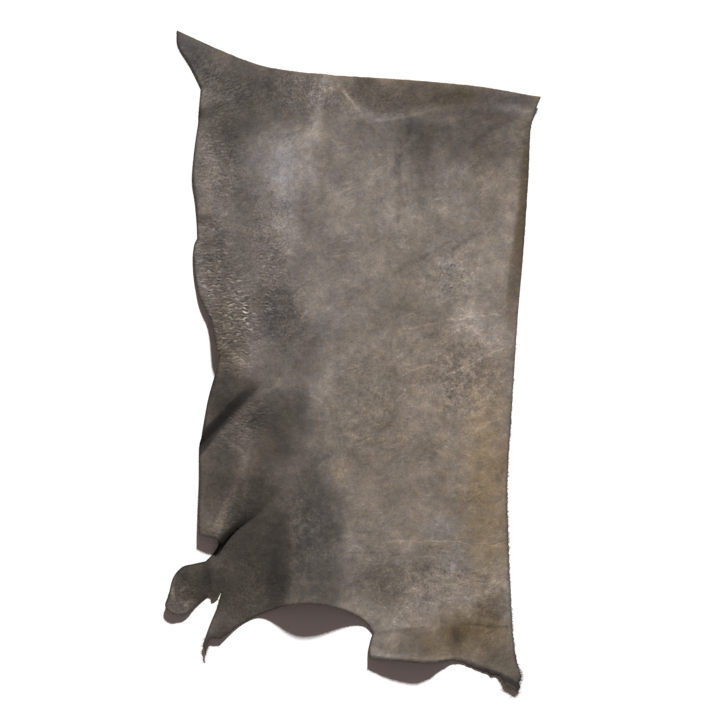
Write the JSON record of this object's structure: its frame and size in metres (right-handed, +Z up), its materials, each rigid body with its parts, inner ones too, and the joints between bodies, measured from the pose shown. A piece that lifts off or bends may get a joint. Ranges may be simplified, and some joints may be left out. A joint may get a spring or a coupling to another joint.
{
  "type": "leather hide",
  "caption": "Half hide of leather lying grain side up: straight neck and back cuts, natural belly edge, shank flaps, an arched rump edge and low folds.",
  "frame": {"origin": "on the surface that the hide lies on, under the middle of its bounding box", "axes": "+Z up from that surface, grain side up; +Y from the rump to the neck cut; +X from the belly edge to the straight back cut"},
  "size_m": [0.561, 0.989, 0.0405],
  "materials": {
    "leather": "waxed grain, cool grey to warm brown, wrinkled at the belly, fibrous cut edges"
  },
  "bodies": {
    "root": {"hide": "leather"}
  },
  "joints": []
}
